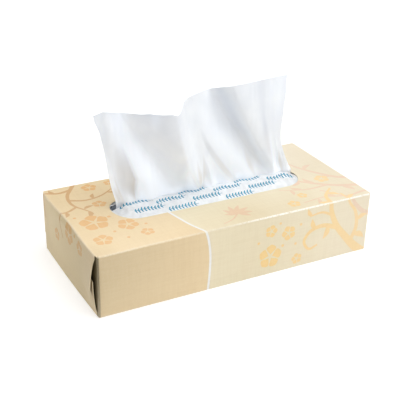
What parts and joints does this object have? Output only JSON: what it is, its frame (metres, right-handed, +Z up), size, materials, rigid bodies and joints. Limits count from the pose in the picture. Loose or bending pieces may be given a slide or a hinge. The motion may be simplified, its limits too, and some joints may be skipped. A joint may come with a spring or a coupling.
{
  "type": "tissue box",
  "caption": "Flat paperboard carton of facial tissues with an oval mouth, a slit film under it, an interfolded stack and one sheet standing in the slit.",
  "frame": {"origin": "middle of the carton's footprint, on the surface that it stands on", "axes": "+X along the carton's length, +Y from the front panel to the back panel, +Z up"},
  "size_m": [0.2399, 0.117, 0.1384],
  "materials": {
    "carton": "coated paperboard, tan and cream print",
    "window_film": "clear glossy film",
    "tissue_stack": "matt white tissue",
    "popup_tissue": "matt white tissue"
  },
  "bodies": {
    "root": {"carton": "carton", "window_film": "window_film", "tissue_stack": "tissue_stack", "popup_tissue": "popup_tissue"}
  },
  "joints": []
}
